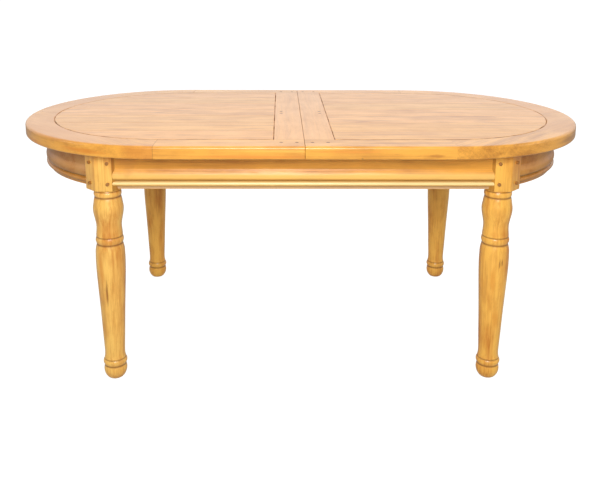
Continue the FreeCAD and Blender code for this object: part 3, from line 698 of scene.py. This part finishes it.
def turned_post(x, y):
    """A turning raised station by station from its foot, as its outline goes."""
    bpy.ops.object.select_all(action="DESELECT")
    first, second = turning[:2]
    rise = second.x - first.x
    middle = (x, y, rise / 2)
    bpy.ops.mesh.primitive_cylinder_add(vertices=turning_sides, radius=first.y, depth=rise, location=middle)
    post = bpy.context.object
    edit_top(post)
    last = first
    for station in turning[1:]:
        grow = station.y / last.y
        if last is not first:
            lift = (0, 0, station.x - last.x)
            bpy.ops.mesh.extrude_region_move(TRANSFORM_OT_translate={"value": lift})
        bpy.ops.transform.resize(value=(grow, grow, 1), center_override=(x, y, station.x))
        last = station
    bpy.ops.object.mode_set(mode="OBJECT")
    bpy.ops.object.transform_apply(location=True, rotation=True, scale=True)
    smooth = post.modifiers.new("smooth", "SUBSURF")
    smooth.levels = 1
    smooth.render_levels = 1
    bpy.ops.object.modifier_apply(modifier="smooth")
    bpy.ops.object.shade_smooth()
    return post


def faceted_block(x, y):
    """The block over the turning: a sawn post with two corners planed off and its arrises eased."""
    bpy.ops.object.select_all(action="DESELECT")
    low = Vector((leg_low.x, leg_low.y, block_bottom))
    bpy.ops.mesh.primitive_cube_add(size=1, location=(low + leg_high) / 2)
    block = bpy.context.object
    block.scale = leg_high - low
    bpy.ops.object.transform_apply(location=True, rotation=True, scale=True)
    bpy.ops.object.mode_set(mode="EDIT")
    left = (x - block_half, y - block_half + block_chamfer, block_bottom)
    right = (x + block_half - block_chamfer, y - block_half, block_bottom)
    for corner, out in ((left, (-1, -1, 0)), (right, (1, -1, 0))):
        bpy.ops.mesh.select_all(action="SELECT")
        bpy.ops.mesh.bisect(plane_co=corner, plane_no=out, use_fill=True, clear_outer=True)
    bpy.ops.object.mode_set(mode="OBJECT")
    ease = block.modifiers.new("ease", "BEVEL")
    ease.width = block_ease
    ease.segments = 3
    ease.limit_method = "ANGLE"
    ease.angle_limit = math.radians(30)
    bpy.ops.object.modifier_apply(modifier="ease")
    bpy.ops.object.shade_smooth_by_angle(angle=math.radians(25))
    return block


def own_copy(source, name):
    """A copy with its own mesh, the only thing selected."""
    bpy.ops.object.select_all(action="DESELECT")
    copy = source.copy()
    copy.data = source.data.copy()
    copy.name = name
    scene.collection.objects.link(copy)
    copy.select_set(True)
    bpy.context.view_layer.objects.active = copy
    return copy


def mirrored(source, name, side_x, side_y):
    """A copy at another corner of the table, right side out."""
    copy = own_copy(source, name)
    copy.scale = (side_x, side_y, 1)
    bpy.ops.object.transform_apply(location=False, rotation=False, scale=True)
    if side_x * side_y < 0:
        bpy.ops.object.mode_set(mode="EDIT")
        bpy.ops.mesh.select_all(action="SELECT")
        bpy.ops.mesh.flip_normals()
        bpy.ops.object.mode_set(mode="OBJECT")
    return copy


def joined(pieces, name):
    bpy.ops.object.select_all(action="DESELECT")
    for piece in pieces:
        piece.select_set(True)
    bpy.context.view_layer.objects.active = pieces[0]
    bpy.ops.object.join()
    whole = bpy.context.object
    whole.name = name
    return whole


# Painted shade in the turned grooves: each band's share of the height, half its width and its strength.
shaded_grooves = (
    (0.0745, 0.0046, 0.85), (0.109, 0.0034, 0.7), (0.722, 0.0046, 0.9), (0.7587, 0.0032, 0.8),
    (0.9617, 0.0046, 0.9), (0.9921, 0.0034, 0.8),
)


# Painted shade: a darker band round each turned groove, kept in the groove attribute.
def paint_groove_shade(piece):
    mark = piece.data.attributes.new("groove", "FLOAT", "POINT")
    for i, point in enumerate(piece.data.vertices):
        for share, reach, strength in shaded_grooves:
            away = abs(point.co.z - share * block_bottom) / reach
            mark.data[i].value = max(mark.data[i].value, strength * (1 - away))


def paint_corner_shade(piece):
    """Marks the facet of the block that meets the apron, which gets painted shade."""
    mark = piece.data.attributes.new("corner", "FLOAT", "FACE")
    inward = Vector((-1, -1, 0)).normalized()
    for i, face in enumerate(piece.data.polygons):
        on_block = face.center.z > block_bottom + post_sunk
        mark.data[i].value = float(on_block and face.normal.dot(inward) > 0.93)


leg_pattern = joined([turned_post(leg_x, -leg_y), faceted_block(leg_x, -leg_y)], "leg_pattern")
paint_groove_shade(leg_pattern)
paint_corner_shade(leg_pattern)
leg_gold = (1.0, 0.53, 0.09, 1)
leg_yellow = (1.0, 0.58, 0.13, 1)
leg_orange = (0.62, 0.2, 0.02, 1)
leg_amber = (0.75, 0.27, 0.03, 1)
leg_copper = (0.8, 0.3, 0.03, 1)
leg_brown = (0.45, 0.16, 0.025, 1)
knot_brown = (0.24, 0.08, 0.012, 1)
legs = {
    "leg_front_right": (1, 1, leg_gold, (0.7, 0.035, 0.02)),
    "leg_front_left": (-1, 1, leg_yellow, (2.3, -0.03, 0.035)),
    "leg_back_right": (1, -1, leg_gold, (3.9, 0.02, -0.04)),
    "leg_back_left": (-1, -1, leg_gold, (5.3, -0.035, -0.02)),
}

# Knots, heart streaks and stains in the front of the front legs. Each centre is measured from the foot of
# the leg's axis.
leg_shades = {
    "leg_front_left": (
        ((0.01, -0.048, 0.46), (0.02, 0.02, 0.03), leg_amber, 0.6),
        ((-0.02, -0.038, 0.36), (0.012, 0.02, 0.07), leg_amber, 0.6),
        ((0.015, -0.048, 0.2), (0.012, 0.02, 0.05), (0.85, 0.34, 0.04, 1), 0.6),
        ((-0.006, -0.038, 0.29), (0.005, 0.02, 0.05), (0.3, 0.1, 0.015, 1), 0.75),
        ((-0.02, -0.038, 0.2), (0.006, 0.02, 0.15), leg_brown, 0.5),
        ((-0.026, -0.038, 0.53), (0.008, 0.03, 0.05), leg_brown, 0.5),
    ),
    "leg_front_right": (
        ((-0.015, -0.048, 0.48), (0.02, 0.02, 0.03), leg_copper, 0.6),
        ((-0.01, -0.038, 0.33), (0.012, 0.02, 0.06), leg_copper, 0.6),
        ((0.005, -0.038, 0.2), (0.015, 0.02, 0.05), leg_copper, 0.5),
        ((0.006, -0.038, 0.386), (0.003, 0.02, 0.018), knot_brown, 0.8),
        ((0.013, -0.038, 0.388), (0.003, 0.02, 0.014), knot_brown, 0.8),
        ((-0.03, -0.038, 0.3), (0.008, 0.02, 0.1), (0.5, 0.18, 0.03, 1), 0.4),
    ),
}
for node, (side_x, side_y, pale, pith) in legs.items():
    name = node.replace("leg_", "post_")
    leg = mirrored(leg_pattern, name, side_x, side_y)
    axis = Vector((leg_x * side_x, -leg_y * side_y, 0))
    centre = axis + Vector((0, 0, leg_high.z / 2))
    shades = [(axis + Vector(place), *rest) for place, *rest in leg_shades.get(node, ())]
    look = timber(name, "Z", centre, pith, pale, leg_orange, rings=0.15, streaks=2.1, ring_width=0.011,
                  marks=0.3, groove=True, coat=0.4, coat_rough=0.22, gloss=0.3, shades=shades)
    leg.data.materials.clear()
    leg.data.materials.append(look)
    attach(leg, "base")
    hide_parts(node)
bpy.data.objects.remove(leg_pattern)


# Pegs of the legs: riven hardwood pegs, ten-sided by the drawknife, driven through block and tenon. Each
# stands out of the block by half its length, and its end is softened.
pegs_low, pegs_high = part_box("leg_pegs")
peg_heights = (pegs_low.z + peg_radius, pegs_high.z - peg_radius)
peg_length = 0.012
peg_inset = 0.012
leg_peg_face = (0.7, 0.33, 0.06, 1)
leg_peg_rim = (0.38, 0.16, 0.03, 1)
block_wing = leg_high.x - leg_low.x - 2 * block_half
facet_x = leg_x + block_half + (block_wing - block_chamfer) / 2
facet_y = leg_y + block_half - (block_wing + block_chamfer) / 2


def riven_peg():
    """The peg that the others are copied from, upright round the origin."""
    bpy.ops.object.select_all(action="DESELECT")
    bpy.ops.mesh.primitive_cylinder_add(vertices=10, radius=peg_radius, depth=peg_length)
    peg = bpy.context.object
    edit_top(peg)
    bpy.ops.mesh.inset(thickness=0.0012, depth=0.0005)
    bpy.ops.mesh.inset(thickness=0.0014, depth=0.0002)
    bpy.ops.object.mode_set(mode="OBJECT")
    return peg


def driven_peg(source, place, out):
    """A copy of the peg with its middle at the place, turned to point out of the block."""
    peg = own_copy(source, "riven_peg")
    peg.rotation_mode = "QUATERNION"
    peg.rotation_quaternion = Vector(out).to_track_quat("Z", "Y")
    peg.location = place
    bpy.ops.object.transform_apply(location=True, rotation=True, scale=True)
    return peg


spots = []
for side_x in (-1, 1):
    for side_y in (-1, 1):
        for height in peg_heights:
            front = (side_x * (leg_x - peg_inset), side_y * (leg_y + block_half), height)
            spots.append((front, (0, side_y, 0)))
            spots.append(((side_x * facet_x, side_y * facet_y, height), (side_x, side_y, 0)))
peg_pattern = riven_peg()
leg_pegs = joined([driven_peg(peg_pattern, place, out) for place, out in spots], "riven_pegs")
peg_ends = [place for place, out in spots]
leg_pegs.data.materials.append(peg_timber("riven_pegs", peg_ends, leg_peg_face, leg_peg_rim))
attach(leg_pegs, "base")
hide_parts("leg_pegs")
bpy.data.objects.remove(peg_pattern)


# Aprons: flat boards with a swell worked along the lower part of the face, tenoned into the legs. The two
# at the ends are bent to follow the top, and are browner than the legs and darkened with painted shade.
moulding_low, moulding_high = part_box("moulding_front")
quirk_height = moulding_high.z + 0.0019
swell_height = moulding_high.z + 0.0144
flat_height = moulding_high.z + 0.0444
# The end colours, for the end aprons and mouldings, are browner and darkened as painted shade under the
# top.
end_brown_and_shade = (0.62, 0.28, 0.05, 1)
end_grey_and_shade = (0.54, 0.27, 0.08, 1)
apron_boards = {
    "apron_front": ("X", honey, tan_dark, (0.9, 0.03, 0.08)),
    "apron_back": ("X", honey, tan_dark, (4.4, -0.03, 0.09)),
    "apron_left": ("Y", end_grey_and_shade, tan_dark, (2.2, 0.1, 0.05)),
    "apron_right": ("Y", end_brown_and_shade, tan_dark, (6.2, 0.1, 0.07)),
}


def strip(height, half_height, shade, strength):
    """A shade at one height that goes all along the run."""
    return ((0, 0, height), (9, 9, half_height), shade, strength)


# Painted shade in the quirk over the bead: brown on the front and back, greyer on the ends.
quirk_painted_shade = strip(quirk_height, 0.006, (0.34, 0.15, 0.025, 1), 0.7)
end_quirk_painted_shade = strip(quirk_height, 0.005, (0.3, 0.17, 0.06, 1), 0.7)
# End aprons: a brown mottle, darker along the upper part as painted shade under the top.
end_mottle_and_shade = (
    ((0, 0.12, 0.68), (2, 0.25, 0.02), (0.36, 0.19, 0.03, 1), 0.7),
    ((0, -0.3, 0.665), (2, 0.12, 0.015), (0.7, 0.34, 0.09, 1), 0.7),
    ((0, -0.2, 0.69), (2, 0.1, 0.02), (0.34, 0.17, 0.03, 1), 0.7),
    end_quirk_painted_shade,
)
apron_face = -0.43
# Front and back: painted shadow of the top darkens the flat, browner patches, painted highlight on the
# swell.
apron_tone_and_painted_light = (
    strip(flat_height, 0.02, (0.76, 0.34, 0.04, 1), 0.6),
    ((-0.3, apron_face, flat_height), (0.12, 0.1, 0.006), (0.5, 0.2, 0.02, 1), 0.5),
    ((0.15, apron_face, 0.678), (0.2, 0.1, 0.005), (0.55, 0.24, 0.03, 1), 0.5),
    ((-0.05, apron_face, 0.662), (0.15, 0.1, 0.004), (0.7, 0.3, 0.04, 1), 0.5),
    ((0.4, apron_face, 0.69), (0.1, 0.1, 0.008), (0.55, 0.24, 0.03, 1), 0.4),
    strip(swell_height, 0.014, (1.0, 0.62, 0.17, 1), 0.75),
    ((-0.515, apron_face, 0.7), (0.05, 0.1, 0.06), (0.55, 0.22, 0.04, 1), 0.5),
    quirk_painted_shade,
)
for board, (along, pale, brown, pith) in apron_boards.items():
    shades = apron_tone_and_painted_light if along == "X" else end_mottle_and_shade
    look = timber(board, along, middle_of(board), pith, pale, brown, rings=0.25, streaks=2.0,
                  coat=0.06, coat_rough=0.35, shades=shades)
    dress(board, look)


# Mouldings: a round bead over a hollow, run in one length for each side of the same timber as the aprons
# and let into a rebate at their foot.
bead_height = moulding_high.z - 0.0061
hollow_height = moulding_low.z + 0.0044
moulding_runs = {
    "moulding_front": ("X", (0.2, 0.02, 0.05)),
    "moulding_back": ("X", (3.2, 0.02, 0.05)),
    "moulding_left": ("Y", (1.2, 0.02, 0.05)),
    "moulding_right": ("Y", (5.2, 0.02, 0.05)),
}
# Front and back mouldings: a painted highlight on the bead, and painted shade on the hollow and in the
# quirk.
bead_painted_light = (
    strip(bead_height, 0.0075, (1.0, 0.8, 0.36, 1), 0.9),
    strip(hollow_height, 0.008, (0.55, 0.36, 0.22, 1), 0.7),
    quirk_painted_shade,
)
for run, (along, pith) in moulding_runs.items():
    if along == "X":
        look = timber(run, along, middle_of(run), pith, honey_yellow, tan, rings=0.2, streaks=0.9,
                      marks=0.1, shades=bead_painted_light)
    else:
        look = timber(run, along, middle_of(run), pith, end_brown_and_shade, tan_dark, rings=0.2, streaks=0.9,
                      marks=0.1, coat=0.2, shades=(end_quirk_painted_shade,))
    dress(run, look)


# Slide work under the top: bearers tenoned into the aprons, guides screwed to them, and on each half two
# runners with their stops and a batten. All are planed beech, left bare and waxed where they slide.
beech = (0.62, 0.40, 0.21, 1)
beech_dark = (0.42, 0.22, 0.09, 1)
slide_work = {
    "bearer_left": "Y", "bearer_right": "Y",
    "guide_front": "X", "guide_back": "X",
    "left_runner_front": "X", "left_runner_back": "X",
    "right_runner_front": "X", "right_runner_back": "X",
    "left_batten": "Y", "right_batten": "Y",
    "left_slide_stops": "Y", "right_slide_stops": "Y",
}
for i, (piece, along) in enumerate(slide_work.items()):
    pith = (1.1 * i, 0.04, 0.06)
    look = timber("beech_" + piece, along, middle_of(piece), pith, beech, beech_dark, rings=0.35,
                  streaks=0.4, marks=0.05, coat=0.0)
    dress(piece, look)


# Screws: zinc-plated wood screws, driven up from below: through the bearers into the guides, through the
# stops into the runners, and through the runners and battens into the top.
def metal(name, colour, dark, rough, scale):
    made = bpy.data.materials.new(name)
    made.use_nodes = True
    tree = made.node_tree
    shader = tree.nodes["Principled BSDF"]
    spot = tree.nodes.new("ShaderNodeTexCoord").outputs["Object"]
    cloud = cloudy(tree, spot, (scale, scale, scale), detail=4.0, rough=0.6)
    tree.links.new(blend_colour(tree, cloud, colour, dark), shader.inputs["Base Color"])
    shader.inputs["Metallic"].default_value = 1.0
    rubbed = math_node(tree, "MULTIPLY_ADD", cloud, 0.25, rough)
    tree.links.new(rubbed, shader.inputs["Roughness"])
    bump = tree.nodes.new("ShaderNodeBump")
    bump.inputs["Strength"].default_value = 0.2
    bump.inputs["Distance"].default_value = 0.0002
    tree.links.new(cloud, bump.inputs["Height"])
    tree.links.new(bump.outputs["Normal"], shader.inputs["Normal"])
    return made


zinc = metal("zinc_plate", (0.62, 0.62, 0.6, 1), (0.4, 0.4, 0.38, 1), rough=0.3, scale=260.0)
for screws in ("guide_screws", "left_screws", "right_screws"):
    dress(screws, zinc)


# Catches: flat brass hooks under the parting, sawn from plate. Each turns on a shouldered screw in the left
# half and closes round a headed pin in the right one.
brass = metal("old_brass", (0.62, 0.43, 0.16, 1), (0.36, 0.22, 0.07, 1), rough=0.28, scale=120.0)
for part in ("catch_front", "catch_back", "catch_pivots", "catch_keepers"):
    dress(part, brass)
